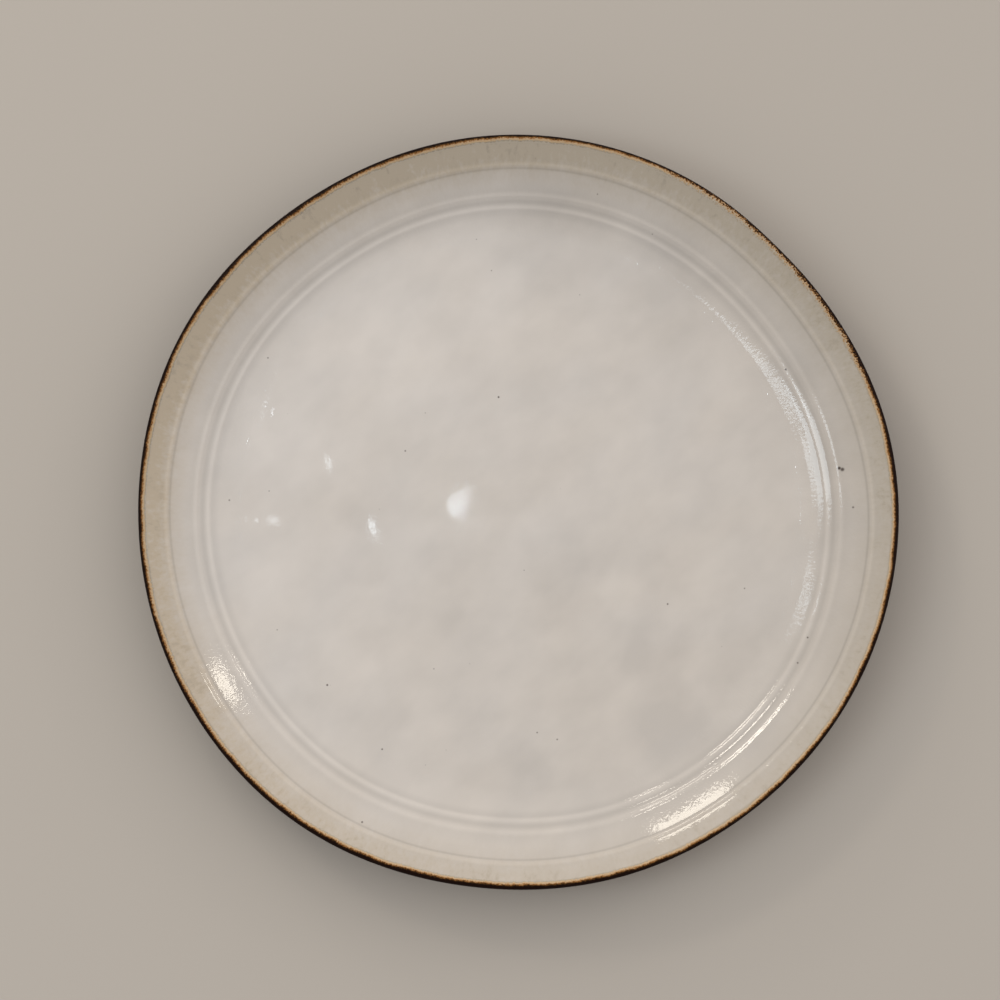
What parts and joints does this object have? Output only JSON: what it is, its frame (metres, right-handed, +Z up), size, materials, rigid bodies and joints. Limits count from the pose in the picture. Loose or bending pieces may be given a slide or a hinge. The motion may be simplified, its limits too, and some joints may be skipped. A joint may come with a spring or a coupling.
{
  "type": "serving platter",
  "caption": "Round stoneware coupe platter with upswept wall, raised rings on the face, pale glaze, iron-brown edge and a bare turned foot ring.",
  "frame": {"origin": "centre of the foot ring, on the plane it rests on", "axes": "+Z up along the axis of turning, out of the face; X and Y lie in the resting plane, and no direction round the axis is special"},
  "size_m": [0.3, 0.3, 0.028],
  "materials": {
    "bare_stoneware": "bare fired clay, matt and slightly grainy",
    "pale_glaze": "glossy pale warm grey with cloudy mottling and a few iron specks",
    "iron_band": "dark iron brown that breaks to speckled gold on its inner side",
    "brown_glaze": "satin dark brown iron glaze"
  },
  "bodies": {
    "root": {"clay_body": "bare_stoneware", "face_glaze": "pale_glaze", "rim_band": "iron_band", "outer_glaze": "brown_glaze", "base_glaze": "brown_glaze"}
  },
  "joints": []
}
